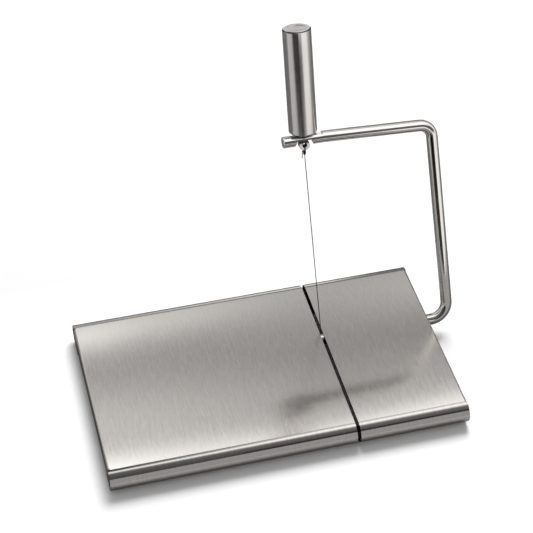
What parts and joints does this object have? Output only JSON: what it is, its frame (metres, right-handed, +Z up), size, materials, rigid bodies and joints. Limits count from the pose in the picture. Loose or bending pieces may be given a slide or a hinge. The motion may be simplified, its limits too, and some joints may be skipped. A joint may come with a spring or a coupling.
{
  "type": "wire cheese slicer",
  "caption": "Steel board with rolled edges and a slot, and a pivoted bent-rod arm that swings a taut cutting wire down under a round upright grip.",
  "frame": {"origin": "on the plane that the feet stand on, under the middle of the whole slicer's box with the arm up", "axes": "+X along the board towards the arm's riser, +Y to the rear edge, towards which the arm leans, +Z up"},
  "size_m": [0.2646, 0.1806, 0.2258],
  "materials": {
    "brushed_sheet": "brushed across the board's depth",
    "bracket_sheet": "mill finish",
    "bush_plastic": "natural nylon",
    "foot_rubber": "matt",
    "polished_rod": "polished",
    "pin_steel": "bright",
    "drawn_wire": "drawn",
    "satin_grip": "satin, brushed round the grip",
    "turned_cap": "turned, with fine rings",
    "plug_steel": "turned",
    "eye_steel": "bright"
  },
  "bodies": {
    "base": {"board_plate": "brushed_sheet", "pivot_bracket_left": "bracket_sheet", "pivot_bracket_right": "bracket_sheet", "pivot_bush_left": "bush_plastic", "pivot_bush_right": "bush_plastic", "foot_front_left": "foot_rubber", "foot_front_right": "foot_rubber", "foot_rear_left": "foot_rubber", "foot_rear_right": "foot_rubber"},
    "arm": {"arm_rod": "polished_rod", "stop_pin_left": "pin_steel", "stop_pin_right": "pin_steel", "cutting_wire": "drawn_wire", "wire_ferrule": "pin_steel", "handle_washer": "pin_steel"},
    "grip": {"handle_tube": "satin_grip", "handle_cap": "turned_cap", "handle_insert": "plug_steel"},
    "eye": {"eyebolt": "eye_steel"}
  },
  "joints": [
    {"name": "arm_swing", "type": "hinge", "parent": "base", "child": "arm", "pos_m": [0.0354, 0.00333, 0.0123], "axis": [1, 0, 0], "range_deg": [0, 110.5]},
    {"name": "handle_turn", "type": "hinge", "parent": "arm", "child": "grip", "pos_m": [0.0354, 0.05946, 0.14781], "axis": [0, 0.2773, 0.9608], "range_deg": [0, 540]},
    {"name": "eyebolt_slide", "type": "slide", "parent": "arm", "child": "eye", "axis": [0, 0.2773, 0.9608], "range_m": [-0.00105, 0]}
  ],
  "couplings": [
    {"joint": "eyebolt_slide", "follows": "handle_turn", "m_per_rad": -0.00011141}
  ]
}
